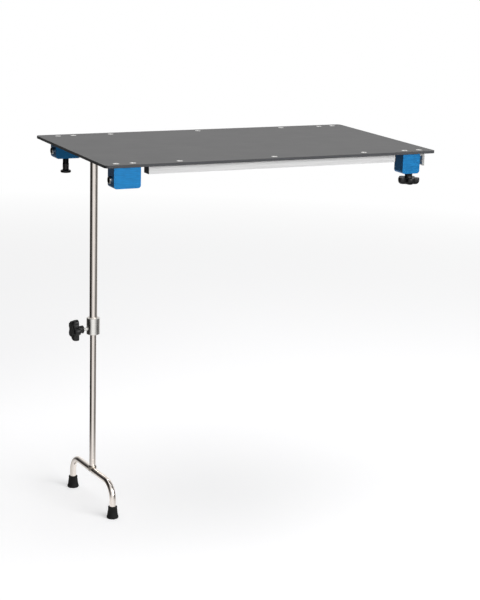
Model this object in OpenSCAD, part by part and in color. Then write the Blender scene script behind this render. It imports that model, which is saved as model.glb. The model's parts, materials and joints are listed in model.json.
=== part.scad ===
// Hand surgery table: a thin board that hooks over a side rail at one end
// and stands on a telescopic leg at the other, with stiffeners below its long edges.
// X runs along the board towards the rail end, and Y across it with the near side at -Y.
// The origin is the seat of the rail's top edge, in the middle of the board's width.

/* [Board] */
// Length of the board
board_l = 864; // [780:1:980]
// Width of the board
board_w = 490; // [420:1:600]
// Thickness of the board
board_t = 6.35; // [6:0.05:10]
// Radius of the board's corners in plan
corner_r = 10; // [5:1:35]
// Height of the board's top over the floor with the leg as stored
table_h = 893; // [830:1:960]
// Distance of both screw rows from the board's long edges
screw_inset = 23.2; // [21:0.1:35]

/* [Screws] */
// Shank diameter of the countersunk board screws
screw_d = 8; // [5:0.5:9]
// Head diameter of the countersunk board screws
screw_head_d = 15; // [12:0.5:17]
// Length of a board screw, head included
screw_l = 25; // [22:1:27]
// Key size of the board screws' hexagon sockets, across their corners
screw_key_d = 5.8; // [3:0.1:6.5]
// Depth of the hexagon sockets
screw_key_h = 3; // [1:0.5:5]

/* [Stiffeners] */
// Width of a stiffener's tube
bar_w = 25.4; // [18:0.1:30]
// Height of a stiffener's tube
bar_h = 19; // [16:0.5:30]
// Wall of a stiffener's tube
bar_wall = 1.6; // [1.2:0.1:2.5]
// Distance from each end of the board to the stiffener's end
bar_end = 109; // [108:1:150]
// Distance from each end of the board to a stiffener's first screw
bar_screw_end = 190; // [180:1:260]
// Length of a stiffener's screw, head included
bar_screw_l = 18; // [16:1:20]
// Depth that an end cap's plug reaches into the tube
cap_plug = 12; // [6:1:20]
// Thickness of an end cap's lid
cap_lid = 2; // [1:0.5:4]
// Outer diameter of the insert nuts in the stiffeners
insert_d = 11; // [10:0.5:13]
// Height of the insert nuts
insert_h = 8; // [5:0.5:9]

/* [Blocks] */
// Width of every block, across the board
block_w = 40; // [34:1:46]
// Height of every block
block_h = 48.5; // [47.5:0.5:52]
// Radius of a block's lower corners
block_r = 7; // [2:1:10]
// Length of a block at the free end
end_block_l = 65; // [62:1:67]
// Distance from the free end to the near end block
near_block_inset = 22; // [14:1:30]
// Distance from the free end to the far end block
far_block_inset = 38; // [20:1:40]
// Spacing of the two screws of a block
block_pitch = 40.8; // [38:0.2:44]
// Length of a rail clamp's block
clamp_block_l = 48; // [47:1:54]

/* [End sleeves] */
// Outer diameter of an end sleeve
sleeve_d = 17; // [15:0.5:19]
// Bore of an end sleeve, for a half-inch rod
sleeve_bore = 12.9; // [10:0.1:13.5]
// How far an end sleeve stands out of its block
sleeve_out = 6; // [4:1:14]
// How deep an end sleeve sits in its block
sleeve_in = 26; // [20:1:27]
// Height of the sleeve's axis over the block's underside
sleeve_up = 18.5; // [18:0.5:19.5]
// Diameter of the rod hole behind an end sleeve
rod_hole_d = 14; // [13.8:0.1:14.8]
// Depth of the whole rod hole in an end block
rod_depth = 56; // [45:1:58]

/* [Rail clamps] */
// Thickness of the side rail that the table hooks over
rail_t = 9.5; // [9:0.1:11]
// Height of that side rail
rail_h = 28.6; // [25:0.1:32]
// Play of the rail in its slot
rail_play = 1; // [0.6:0.1:1.5]
// How far the board reaches past the middle of the rail
rail_over = 37.25; // [30:0.25:60]
// Thickness of a rail hook's steel
hook_t = 6; // [5:0.5:7]
// Width of a rail hook
hook_w = 28; // [20:1:31]
// How far a rail hook reaches down behind the rail
hook_drop = 25; // [18:1:30]
// Length of a rail hook's tail in front of the slot
hook_tail = 44; // [42:1:46]
// Distance of the hook's outer screw past the middle of the rail
hook_screw_x = 2.5; // [0:0.5:3]
// Diameter of a clamp screw
clamp_d = 10; // [8:1:11]
// Distance from the slot to the clamp screw's axis
clamp_back = 18; // [15:1:22]
// Diameter of the pin that presses on the rail
jaw_d = 10; // [8:1:11]
// Length of clamp screw that is in its thread
clamp_grip = 15.5; // [13:0.5:16.5]

/* [Knobs] */
// Reach of a star knob's lobes from its axis
knob_r = 27.5; // [24:0.5:32]
// Reach of the lobes at the knob's outer face
knob_face_r = 21.5; // [18:0.5:24]
// Radius of a lobe
lobe_r = 7.5; // [5:0.5:9]
// Number of lobes
lobes = 5; // [4:1:7]
// Radius of the knob's core between its lobes
knob_core_r = 20.5; // [15:0.5:22]
// Thickness of the knob's head
knob_head_h = 15.5; // [12:0.5:20]
// Diameter of a knob's hub
hub_d = 20; // [16:1:24]
// Length of the leg knob's hub
leg_hub_h = 15; // [10:0.5:20]
// Length of a clamp knob's hub
clamp_hub_h = 11.5; // [9:0.5:16]
// Turn of the leg's knob about its stud, from one lobe straight down
leg_knob_turn = 20; // [0:1:71]
// Depth of stud moulded into a knob
knob_grip = 20; // [16:1:24]
// Diameter of the pull knob's flange
pull_d = 26; // [22:1:32]
// Thickness of the pull knob's flange
pull_flange_h = 4; // [3:0.5:6]
// Length of the pull knob's neck
pull_neck_h = 19.5; // [16:0.5:24]

/* [Lock plunger] */
// Diameter of the plunger's guide and of the pull knob's neck
guide_d = 15; // [14:0.5:18]
// Length of guide that shows below the block
guide_out = 14; // [12:0.5:16]
// Diameter of the guide's thread in the block
guide_thread_d = 12; // [11.5:0.5:13.5]
// Length of the guide's thread in the block
guide_in = 9; // [8:0.5:10]
// Diameter of the lock pin
pin_d = 6; // [4:0.5:6]
// How far the lock pin stands into the rod bore
pin_reach = 5; // [2:0.5:6]

/* [Leg] */
// Outer diameter of the upper tube
upper_d = 19.05; // [18.6:0.05:22]
// Wall of the upper tube
upper_wall = 1.2; // [1:0.1:1.2]
// Length of the upper tube
upper_l = 429; // [400:1:460]
// Outer diameter of the lower tube
lower_d = 15.88; // [14:0.02:16]
// Wall of the lower tube
lower_wall = 1.5; // [1.2:0.1:2]
// Length of the lower tube
lower_l = 600; // [560:1:640]
// Distance from the free end to the leg's axis
leg_inset = 64; // [50:1:75]
// Outer diameter of a leg socket's hub
socket_d = 27; // [25:0.5:32]
// Height of a leg socket
socket_h = 22; // [18:0.5:28]
// Diameter of a leg socket's flange
socket_flange_d = 60; // [56:1:70]
// Thickness of a leg socket's flange
socket_flange_t = 4; // [3:0.5:6]
// Diameter of the collar
collar_d = 33; // [30:1:40]
// Height of the collar
collar_h = 41; // [40:1:50]
// Depth that the upper tube sits in the collar
collar_seat = 21; // [14:0.5:21]
// Height of the leg's clamp stud over the collar's lower end
stud_up = 13.5; // [12.5:0.5:14]
// Diameter of the leg's clamp stud
stud_d = 8; // [6:0.5:9]
// Length of stud that shows between the collar and the knob
stud_gap = 9.5; // [8:0.5:16]
// Diameter of the rest hole in the lower tube
rest_hole_d = 6.5; // [4:0.5:7]
// Distance from the clamp stud down to the rest hole
rest_hole_drop = 148.5; // [100:0.5:170]

/* [Foot] */
// Turn of the foot and lower tube about the leg's axis, as stored
foot_turn = 4.5; // [-10:0.5:10]
// Outer diameter of the foot's tube
foot_d = 16; // [15.5:0.5:19]
// Wall of the foot's tube
foot_wall = 1.5; // [1.2:0.1:2.5]
// Height of the foot's bar over the floor, to its axis
foot_rise = 85; // [81:1:120]
// Distance from the leg's axis to each rubber tip's axis
foot_half = 118; // [90:1:150]
// Centre-line radius of the foot's bends
bend_r = 40; // [28:1:42]
// Height of a rubber tip
tip_h = 29.5; // [24:0.5:36]
// Diameter of a rubber tip where it meets the floor
tip_d = 30.5; // [25:0.5:36]
// Diameter of a rubber tip at its top
tip_top_d = 23; // [21:0.5:24]
// Rubber under the end of the foot's tube
tip_sole = 9; // [5:0.5:14]

/* [Hidden] */
$fn = 96;

// Clearances
fit = 0.07;            // running fit, on the radius
shoe_gap = 0.12;       // between the clamp shoe and the lower tube
end_gap = 0.1;         // between faces that turn or slide on each other
knob_gap = 0.5;        // between a clamp knob's hub and its block
top_gap = 0.3;         // between the leg's top and the board
cut = 1;               // overrun of every cut
edge = 1;              // small chamfers

// Board
z_under = hook_t;
z_top = z_under + board_t;
z_floor = z_top - table_h;
x_end = rail_over;
x_free = rail_over - board_l;
row_y = board_w / 2 - screw_inset;
head_h = (screw_head_d - screw_d) / 2;

// Stiffeners
bar_x0 = x_free + bar_end;
bar_x1 = x_end - bar_end;
bar_screw_xs = [x_free + bar_screw_end, (x_free + x_end) / 2, x_end - bar_screw_end];

// Blocks
z_block = z_under - block_h;
slot_w = rail_t + rail_play;
clamp_x1 = -slot_w / 2;
clamp_x0 = clamp_x1 - clamp_block_l;
near_x0 = x_free + near_block_inset;
far_x0 = x_free + far_block_inset;
hook_inner_x = hook_screw_x - block_pitch;
end_screw_off = (end_block_l - block_pitch) / 2;
block_screw_places = [
    [near_x0 + end_screw_off, -row_y], [near_x0 + end_screw_off + block_pitch, -row_y],
    [far_x0 + end_screw_off, row_y], [far_x0 + end_screw_off + block_pitch, row_y],
    [hook_inner_x, -row_y], [hook_inner_x, row_y]
];
hook_screw_l = board_t + hook_t - end_gap;

// End sleeves and lock plunger
sleeve_z = z_block + sleeve_up;
plunger_x = far_x0 + end_block_l / 2;
guide_wall = 1.5;
guide_bore_d = guide_thread_d - 2 * guide_wall;
guide_lip = 3;
pin_collar_h = 2;
pin_top = sleeve_z - sleeve_bore / 2 + pin_reach;
guide_top = z_block + guide_in;
collar_top = guide_top - guide_lip - end_gap;
guide_bottom = z_block - guide_out;
spring_z0 = guide_bottom + guide_wall;
spring_z1 = collar_top - pin_collar_h;
spring_turns = 4;
spring_rings = 8;
spring_sides = 6;
wire_share = 0.55;
wire_d = (guide_bore_d - pin_d) / 2 * wire_share;
spring_r = (guide_bore_d + pin_d) / 4;
pull_top = guide_bottom - end_gap;
pin_bottom = pull_top - pull_neck_h + edge;

// Rail clamps
clamp_x = clamp_x1 - clamp_back;
jaw_z = -rail_h / 2;
jaw_tip = clamp_x1 + rail_play;
jaw_back = clamp_x - clamp_d / 2 - jaw_d / 2;
screw_top = z_block + clamp_grip;
wedge_bottom = screw_top + end_gap;
clamp_bore_top = jaw_z + jaw_d / 2 + edge;
clamp_knob_z = z_block - knob_gap;

// Leg
leg_x = x_free + leg_inset;
spare_x = x_end - leg_inset - clamp_block_l;
upper_top = z_under - top_gap;
upper_bottom = upper_top - upper_l;
collar_bottom = upper_bottom + collar_seat - collar_h;
stud_z = collar_bottom + stud_up;
stud_in = lower_d / 2 + shoe_gap + stud_d / 2;
stud_out = collar_d / 2 + stud_gap;
set_screw_d = 5;
set_screw_sunk = 0.5;
socket_screw_d = 5;
socket_screw_head = 9;
socket_screw_in = board_t - 1.5;
socket_screw_r = (socket_flange_d + socket_d) / 4;
socket_screw_count = 3;
socket_bore = upper_d + 2 * fit;
bar_z = z_floor + foot_rise;
lower_bottom = bar_z + foot_d / 2 + edge;
lower_top = lower_bottom + lower_l;
guide_plug = 20;
guide_rim = 6;
weld_r = foot_d / 2 + 2;
weld_top = lower_bottom + 3;
washer_t = 1.5;
tip_ring_h = 4;

module place_pair() {
    for (side = [-1, 1])
        translate([0, side * row_y, 0]) children();
}

// Outline of the board with round corners
module board_outline() {
    for (inset_xy = [[corner_r, 0], [0, corner_r]])
        translate([x_free + inset_xy[0], -board_w / 2 + inset_xy[1]])
            square([board_l - 2 * inset_xy[0], board_w - 2 * inset_xy[1]]);
    for (x = [x_free + corner_r, x_end - corner_r], y = [-1, 1])
        translate([x, y * (board_w / 2 - corner_r)]) circle(corner_r);
}

// A countersunk screw with its head's top at z = 0, and the hole that it fills
module screw_body(length) {
    translate([0, 0, -length]) cylinder(h = length, d = screw_d);
    translate([0, 0, -head_h]) cylinder(h = head_h, d1 = screw_d, d2 = screw_head_d);
}

module board_screw(length) {
    difference() {
        screw_body(length);
        translate([0, 0, -screw_key_h]) cylinder(h = screw_key_h + cut, d = screw_key_d, $fn = 6);
    }
}

module all_board_screws() {
    for (x = bar_screw_xs) place_pair() translate([x, 0, z_top]) children();
    for (place = block_screw_places) translate([place[0], place[1], z_top]) children();
    place_pair() translate([hook_screw_x, 0, z_top]) children();
}

// The screws of a leg socket, with their heads' faces at the flange's underside
module socket_screw_places(x) {
    for (i = [0 : socket_screw_count - 1])
        translate([x, 0, z_under - socket_flange_t])
            rotate([0, 0, 360 / socket_screw_count * i]) translate([socket_screw_r, 0, 0])
                children();
}

module socket_screw() {
    cylinder(h = socket_flange_t + socket_screw_in, d = socket_screw_d);
    cylinder(h = (socket_screw_head - socket_screw_d) / 2, d1 = socket_screw_head, d2 = socket_screw_d);
}

module tabletop() {
    color([0.27, 0.28, 0.29]) difference() {
        translate([0, 0, z_under]) linear_extrude(board_t) board_outline();
        all_board_screws() screw_body(board_t + cut);
        for (x = [leg_x, spare_x]) socket_screw_places(x) socket_screw();
    }
}

module stiffener(side) {
    color([0.9, 0.9, 0.9]) translate([0, side * row_y, 0]) difference() {
        translate([bar_x0, -bar_w / 2, z_under - bar_h]) cube([bar_x1 - bar_x0, bar_w, bar_h]);
        translate([bar_x0 - cut, bar_wall - bar_w / 2, z_under - bar_h + bar_wall])
            cube([bar_x1 - bar_x0 + 2 * cut, bar_w - 2 * bar_wall, bar_h - 2 * bar_wall]);
        for (x = bar_screw_xs)
            translate([x, 0, z_under - 2 * bar_wall]) cylinder(h = 3 * bar_wall, d = screw_d);
    }
}

module stiffener_near() { stiffener(-1); }
module stiffener_far() { stiffener(1); }

// Each cap is a lid the size of the tube and a plug that fills its bore
module end_cap() {
    translate([-cap_lid, -bar_w / 2, z_under - bar_h]) cube([cap_lid, bar_w, bar_h]);
    translate([0, bar_wall - bar_w / 2, z_under - bar_h + bar_wall])
        cube([cap_plug, bar_w - 2 * bar_wall, bar_h - 2 * bar_wall]);
}

module stiffener_end_caps() {
    color([0.05, 0.05, 0.05]) place_pair() {
        translate([bar_x0, 0, 0]) end_cap();
        translate([bar_x1, 0, 0]) mirror([1, 0, 0]) end_cap();
    }
}

module stiffener_inserts() {
    color([0.75, 0.75, 0.72]) place_pair() for (x = bar_screw_xs)
        translate([x, 0, z_under - bar_wall - insert_h]) difference() {
            cylinder(h = insert_h, d = insert_d);
            translate([0, 0, -cut]) cylinder(h = insert_h + 2 * cut, d = screw_d);
        }
}

module stiffener_screws() {
    color([0.85, 0.85, 0.85]) place_pair() for (x = bar_screw_xs)
        translate([x, 0, z_top]) board_screw(bar_screw_l);
}

module block_screws() {
    color([0.85, 0.85, 0.85]) for (place = block_screw_places)
        translate([place[0], place[1], z_top]) board_screw(screw_l);
}

module hook_screws() {
    color([0.85, 0.85, 0.85]) place_pair()
        translate([hook_screw_x, 0, z_top]) board_screw(hook_screw_l);
}

// A block's body from x = 0: square above, with round lower corners
module block_body(length) {
    translate([0, block_w / 2, 0]) rotate([90, 0, 0]) linear_extrude(block_w) {
        translate([0, z_block + block_r]) square([length, block_h - block_r]);
        translate([block_r, z_block]) square([length - 2 * block_r, block_r]);
        for (x = [block_r, length - block_r]) translate([x, z_block + block_r]) circle(block_r);
    }
}

module end_block(x0) {
    difference() {
        translate([x0, 0, 0]) block_body(end_block_l);
        translate([x0 - cut, 0, sleeve_z]) rotate([0, 90, 0]) {
            cylinder(h = sleeve_in + cut, d = sleeve_d);
            cylinder(h = rod_depth + cut, d = rod_hole_d);
        }
        for (x = [end_screw_off, end_screw_off + block_pitch])
            translate([x0 + x, 0, z_top - screw_l]) cylinder(h = screw_l, d = screw_d);
    }
}

module end_block_near() {
    color([0.1, 0.42, 0.75]) translate([0, -row_y, 0]) end_block(near_x0);
}

module end_block_far() {
    color([0.1, 0.42, 0.75]) translate([0, row_y, 0]) difference() {
        end_block(far_x0);
        translate([plunger_x, 0, z_block - cut]) {
            cylinder(h = guide_in + cut, d = guide_thread_d);
            cylinder(h = sleeve_up + cut, d = pin_d + 2 * fit);
        }
    }
}

module end_sleeve(x0) {
    color([0.8, 0.8, 0.8]) translate([x0 - sleeve_out, 0, sleeve_z]) rotate([0, 90, 0])
        rotate_extrude() polygon([
            [sleeve_bore / 2, 0], [sleeve_d / 2 - edge, 0], [sleeve_d / 2, edge],
            [sleeve_d / 2, sleeve_out + sleeve_in], [sleeve_bore / 2, sleeve_out + sleeve_in]
        ]);
}

module end_sleeve_near() { translate([0, -row_y, 0]) end_sleeve(near_x0); }
module end_sleeve_far() { translate([0, row_y, 0]) end_sleeve(far_x0); }

// The block is open above for the hook's tail and bored for the screw, wedge and jaw pin
module clamp_block() {
    color([0.1, 0.42, 0.75]) difference() {
        translate([clamp_x0, 0, 0]) block_body(clamp_block_l);
        translate([clamp_x1 - hook_tail, -hook_w / 2, 0]) cube([hook_tail + cut, hook_w, hook_t + cut]);
        translate([hook_inner_x, 0, z_top - screw_l]) cylinder(h = screw_l, d = screw_d);
        translate([clamp_x, 0, z_block - cut])
            cylinder(h = clamp_bore_top - z_block + cut, d = clamp_d + 2 * fit);
        translate([jaw_back, 0, jaw_z]) rotate([0, 90, 0])
            cylinder(h = clamp_x1 - jaw_back + cut, d = jaw_d + 2 * fit);
    }
}

module clamp_block_near() { translate([0, -row_y, 0]) clamp_block(); }
module clamp_block_far() { translate([0, row_y, 0]) clamp_block(); }

// A bent steel strip: its tail lies on the block and its end hangs behind the rail
module rail_hook() {
    back_x = slot_w / 2;
    color([0.72, 0.73, 0.74]) difference() {
        translate([0, hook_w / 2, 0]) rotate([90, 0, 0]) linear_extrude(hook_w) difference() {
            polygon([
                [clamp_x1 - hook_tail, 0], [clamp_x1 - hook_tail, hook_t], [back_x + hook_t, hook_t],
                [back_x + hook_t, -hook_drop], [back_x + hook_t / 2, -hook_drop],
                [back_x, -hook_drop + hook_t / 2], [back_x, 0]
            ]);
            translate([back_x, 0]) difference() {
                square(hook_t + cut);
                circle(hook_t);
            }
        }
        for (x = [hook_screw_x, hook_inner_x])
            translate([x, 0, 0]) cylinder(h = hook_t + cut, d = screw_d);
    }
}

module rail_hook_near() { translate([0, -row_y, 0]) rail_hook(); }
module rail_hook_far() { translate([0, row_y, 0]) rail_hook(); }

module clamp_screw() {
    screw_z0 = clamp_knob_z - knob_grip;
    color([0.6, 0.6, 0.6]) translate([clamp_x, 0, screw_z0])
        cylinder(h = screw_top - screw_z0, d = clamp_d);
}

module clamp_screw_near() { translate([0, -row_y, 0]) clamp_screw(); }
module clamp_screw_far() { translate([0, row_y, 0]) clamp_screw(); }

// A star knob along +Z: the hub starts at z = 0 and the head's outer face is its far end
module star_knob(bore_d, hub_h) {
    color([0.07, 0.07, 0.07]) difference() {
        union() {
            cylinder(h = hub_h + edge, d = hub_d);
            translate([0, 0, hub_h]) intersection() {
                linear_extrude(knob_head_h) {
                    circle(knob_core_r);
                    for (i = [0 : lobes - 1])
                        rotate(180 + 360 / lobes * i) translate([knob_r - lobe_r, 0]) circle(lobe_r);
                }
                cylinder(h = knob_head_h, r1 = knob_r + edge / 2, r2 = knob_face_r);
            }
        }
        translate([0, 0, -cut]) cylinder(h = knob_grip + cut, d = bore_d);
    }
}

module clamp_knob() {
    translate([clamp_x, 0, clamp_knob_z]) rotate([180, 0, 0]) star_knob(clamp_d, clamp_hub_h);
}

module clamp_knob_near() { translate([0, -row_y, 0]) clamp_knob(); }
module clamp_knob_far() { translate([0, row_y, 0]) clamp_knob(); }

// Keeps what lies on one side of the slanted face between a wedge and its jaw pin
module slant_half(side, gap) {
    reach = 4 * jaw_d;
    intersection() {
        children();
        translate([clamp_x, 0, jaw_z]) rotate([0, 45, 0])
            translate([-reach, -reach, side > 0 ? gap : -2 * reach]) cube(2 * reach);
    }
}

module clamp_wedge() {
    color([0.6, 0.6, 0.6]) slant_half(-1, 0) translate([clamp_x, 0, wedge_bottom])
        cylinder(h = jaw_z + clamp_d / 2 - wedge_bottom, d = clamp_d);
}

module clamp_wedge_near() { translate([0, -row_y, 0]) clamp_wedge(); }
module clamp_wedge_far() { translate([0, row_y, 0]) clamp_wedge(); }

module jaw_pin() {
    color([0.75, 0.75, 0.75]) slant_half(1, end_gap)
        translate([clamp_x - jaw_d / 2, 0, jaw_z]) rotate([0, 90, 0])
            cylinder(h = jaw_tip - clamp_x + jaw_d / 2, d = jaw_d);
}

module jaw_pin_near() { translate([0, -row_y, 0]) jaw_pin(); }
module jaw_pin_far() { translate([0, row_y, 0]) jaw_pin(); }

module at_plunger() { translate([plunger_x, row_y, 0]) children(); }

// The guide holds the spring between its floor and the pin's collar
module plunger_guide() {
    color([0.12, 0.12, 0.12]) at_plunger() difference() {
        union() {
            translate([0, 0, guide_bottom]) cylinder(h = guide_out, d = guide_d);
            translate([0, 0, z_block - edge]) cylinder(h = guide_in + edge, d = guide_thread_d);
        }
        translate([0, 0, spring_z0])
            cylinder(h = guide_top - guide_lip - spring_z0, d = guide_bore_d);
        translate([0, 0, guide_bottom - cut])
            cylinder(h = guide_top - guide_bottom + 2 * cut, d = pin_d + 2 * fit);
    }
}

module lock_pin() {
    pin_collar_r = guide_bore_d / 2 - fit;
    color([0.78, 0.78, 0.78]) at_plunger() rotate_extrude() polygon([
        [0, pin_bottom], [pin_d / 2, pin_bottom], [pin_d / 2, spring_z1], [pin_collar_r, spring_z1],
        [pin_collar_r, collar_top], [pin_d / 2, collar_top], [pin_d / 2, pin_top - edge],
        [pin_d / 2 - edge, pin_top], [0, pin_top]
    ]);
}

// The points of the spring's wire, ring after ring
function spring_point(i, j) =
    let (
        turn = 360 * i / spring_rings,
        rise = (spring_z1 - spring_z0 - wire_d - 2 * end_gap) * i / (spring_turns * spring_rings),
        round = 360 * j / spring_sides,
        reach = spring_r + wire_d / 2 * cos(round)
    )
    [reach * cos(turn), reach * sin(turn), rise + wire_d / 2 * sin(round)];

module lock_spring() {
    rings = spring_turns * spring_rings;
    color([0.7, 0.7, 0.7]) at_plunger() translate([0, 0, spring_z0 + wire_d / 2 + end_gap])
        polyhedron(
            points = [for (i = [0 : rings], j = [0 : spring_sides - 1]) spring_point(i, j)],
            faces = concat(
                [[for (j = [0 : spring_sides - 1]) j]],
                [for (i = [0 : rings - 1], j = [0 : spring_sides - 1])
                    let (k = (j + 1) % spring_sides, a = i * spring_sides)
                    [a + j, a + spring_sides + j, a + spring_sides + k]],
                [for (i = [0 : rings - 1], j = [0 : spring_sides - 1])
                    let (k = (j + 1) % spring_sides, a = i * spring_sides)
                    [a + j, a + spring_sides + k, a + k]],
                [[for (j = [spring_sides - 1 : -1 : 0]) rings * spring_sides + j]]
            )
        );
}

module pull_knob() {
    pull_bottom = pull_top - pull_neck_h - pull_flange_h;
    color([0.07, 0.07, 0.07]) at_plunger() difference() {
        union() {
            translate([0, 0, pull_bottom]) cylinder(h = pull_neck_h + pull_flange_h, d = guide_d);
            translate([0, 0, pull_bottom]) cylinder(h = pull_flange_h, d = pull_d);
        }
        translate([0, 0, pin_bottom]) cylinder(h = pull_neck_h + cut, d = pin_d);
    }
}

module socket_at(x) {
    color([0.78, 0.79, 0.8]) difference() {
        translate([x, 0, 0]) union() {
            translate([0, 0, z_under - socket_flange_t])
                cylinder(h = socket_flange_t, d = socket_flange_d);
            translate([0, 0, z_under - socket_h]) cylinder(h = socket_h, d = socket_d);
        }
        translate([x, 0, z_under - socket_h - cut]) cylinder(h = socket_h + 2 * cut, d = socket_bore);
        socket_screw_places(x) socket_screw();
        set_screw_at(x, 0, socket_d / 2 + cut);
    }
}

// A round bar across one wall of a socket's hub, between two distances from the bore's axis
module set_screw_at(x, r0, r1) {
    set_z = z_under - (socket_h + socket_flange_t) / 2;
    translate([x + r0, 0, set_z]) rotate([0, 90, 0]) cylinder(h = r1 - r0, d = set_screw_d);
}

module leg_socket() { socket_at(leg_x); }
module spare_leg_socket() { socket_at(spare_x); }

module socket_screws() {
    color([0.8, 0.8, 0.8]) for (x = [leg_x, spare_x]) socket_screw_places(x) socket_screw();
}

module socket_set_screws() {
    color([0.2, 0.2, 0.2]) for (x = [leg_x, spare_x])
        set_screw_at(x, socket_bore / 2 + end_gap, socket_d / 2 - set_screw_sunk);
}

module tube(z0, z1, outer_d, wall) {
    translate([0, 0, z0]) difference() {
        cylinder(h = z1 - z0, d = outer_d);
        translate([0, 0, -cut]) cylinder(h = z1 - z0 + 2 * cut, d = outer_d - 2 * wall);
    }
}

module upper_tube() {
    color([0.8, 0.8, 0.8]) translate([leg_x, 0, 0]) tube(upper_bottom, upper_top, upper_d, upper_wall);
}

// The collar carries the upper tube above and guides the lower tube below
module leg_collar() {
    color([0.8, 0.8, 0.79]) difference() {
        translate([leg_x, 0, collar_bottom]) difference() {
            rotate_extrude() polygon([
                [0, 0], [collar_d / 2 - edge, 0], [collar_d / 2, edge],
                [collar_d / 2, collar_h - edge], [collar_d / 2 - edge, collar_h], [0, collar_h]
            ]);
            translate([0, 0, collar_h - collar_seat]) cylinder(h = collar_seat + cut, d = upper_d);
            translate([0, 0, -cut]) cylinder(h = collar_h + 2 * cut, d = lower_d + 2 * fit);
        }
        translate([leg_x, 0, stud_z]) rotate([0, -90, 0])
            cylinder(h = collar_d, d = stud_d + 2 * fit);
        collar_grub(0, collar_d / 2 + cut);
    }
}

// A round bar through the collar's back wall, between two distances from the leg's axis
module collar_grub(r0, r1) {
    translate([leg_x + r0, 0, upper_bottom + collar_seat / 2]) rotate([0, 90, 0])
        cylinder(h = r1 - r0, d = set_screw_d);
}

// It holds the collar on the upper tube
module collar_set_screw() {
    color([0.2, 0.2, 0.2]) collar_grub(upper_d / 2 + end_gap, collar_d / 2 - set_screw_sunk);
}

module leg_shoe() {
    color([0.72, 0.58, 0.3]) difference() {
        translate([leg_x, 0, stud_z]) rotate([0, -90, 0]) cylinder(h = stud_in, d = stud_d);
        translate([leg_x, 0, stud_z - stud_d]) cylinder(h = 2 * stud_d, r = lower_d / 2 + shoe_gap);
    }
}

module leg_knob_stud() {
    color([0.72, 0.73, 0.74]) translate([leg_x - stud_in - end_gap, 0, stud_z]) rotate([0, -90, 0])
        cylinder(h = stud_out + knob_grip - stud_in - end_gap, d = stud_d);
}

module leg_knob() {
    translate([leg_x - stud_out, 0, stud_z]) rotate([0, -90, 0]) rotate([0, 0, leg_knob_turn])
        star_knob(stud_d, leg_hub_h);
}

// The lower leg's own place: the leg's axis, with the foot's turn
module at_lower_leg() {
    translate([leg_x, 0, 0]) rotate([0, 0, foot_turn]) children();
}

module lower_tube() {
    color([0.78, 0.77, 0.75]) difference() {
        at_lower_leg() tube(lower_bottom, lower_top, lower_d, lower_wall);
        at_lower_leg() translate([0, 0, stud_z - rest_hole_drop]) rotate([0, -90, 0])
            cylinder(h = lower_d, d = rest_hole_d);
    }
}

// A nylon plug in the lower tube's top, with a rim that runs in the upper tube
module lower_tube_guide() {
    color([0.92, 0.92, 0.9]) at_lower_leg() translate([0, 0, lower_top]) {
        translate([0, 0, -guide_plug]) cylinder(h = guide_plug, d = lower_d - 2 * lower_wall);
        cylinder(h = guide_rim, d = upper_d - 2 * upper_wall - 4 * fit);
    }
}

// The foot's centre line: a bar across, two bends and two straight ends
module foot_run(d, z_end) {
    for (side = [0, 1]) at_lower_leg() mirror([0, side, 0]) {
        translate([0, 0, bar_z]) rotate([-90, 0, 0]) cylinder(h = foot_half - bend_r, d = d);
        translate([0, foot_half - bend_r, bar_z - bend_r]) rotate([90, 0, 90])
            rotate_extrude(angle = 90) translate([bend_r, 0]) circle(d = d);
        translate([0, foot_half, z_end]) cylinder(h = bar_z - bend_r - z_end, d = d);
    }
}

module foot_tube() {
    z_end = z_floor + tip_sole + washer_t;
    color([0.8, 0.79, 0.77]) difference() {
        foot_run(foot_d, z_end);
        foot_run(foot_d - 2 * foot_wall, z_end - cut);
    }
}

// The welded collar that joins the lower tube to the foot's bar
module foot_weld() {
    color([0.76, 0.75, 0.73]) at_lower_leg() difference() {
        translate([0, 0, bar_z]) {
            cylinder(h = lower_bottom - bar_z, r = weld_r);
            translate([0, 0, lower_bottom - bar_z])
                cylinder(h = weld_top - lower_bottom, r1 = weld_r, r2 = lower_d / 2 + edge / 2);
        }
        translate([0, -2 * weld_r, bar_z]) rotate([-90, 0, 0]) cylinder(h = 4 * weld_r, d = foot_d);
        translate([0, 0, lower_bottom]) cylinder(h = weld_top - lower_bottom + cut, d = lower_d);
    }
}

module foot_tip(side) {
    color([0.05, 0.05, 0.05]) at_lower_leg() translate([0, side * foot_half, z_floor])
        rotate_extrude() polygon([
            [0, 0], [tip_d / 2 - edge, 0], [tip_d / 2, edge], [tip_d / 2, tip_ring_h],
            [tip_d / 2 - edge, tip_ring_h + edge], [tip_top_d / 2, tip_h - edge],
            [tip_top_d / 2 - edge, tip_h], [foot_d / 2, tip_h], [foot_d / 2, tip_sole], [0, tip_sole]
        ]);
}

module foot_tip_near() { foot_tip(-1); }
module foot_tip_far() { foot_tip(1); }

module tip_washers() {
    color([0.7, 0.7, 0.7]) at_lower_leg() for (side = [-1, 1])
        translate([0, side * foot_half, z_floor + tip_sole]) cylinder(h = washer_t, d = foot_d);
}

tabletop();
stiffener_near();
stiffener_far();
stiffener_end_caps();
stiffener_inserts();
stiffener_screws();
block_screws();
hook_screws();
end_block_near();
end_block_far();
end_sleeve_near();
end_sleeve_far();
clamp_block_near();
clamp_block_far();
rail_hook_near();
rail_hook_far();
clamp_screw_near();
clamp_screw_far();
clamp_knob_near();
clamp_knob_far();
clamp_wedge_near();
clamp_wedge_far();
jaw_pin_near();
jaw_pin_far();
plunger_guide();
lock_pin();
lock_spring();
pull_knob();
leg_socket();
spare_leg_socket();
socket_screws();
socket_set_screws();
upper_tube();
leg_collar();
collar_set_screw();
leg_knob();
leg_knob_stud();
leg_shoe();
lower_tube();
lower_tube_guide();
foot_tube();
foot_weld();
foot_tip_near();
foot_tip_far();
tip_washers();
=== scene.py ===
import json
import math

import bpy
from mathutils import Matrix, Vector


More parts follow.
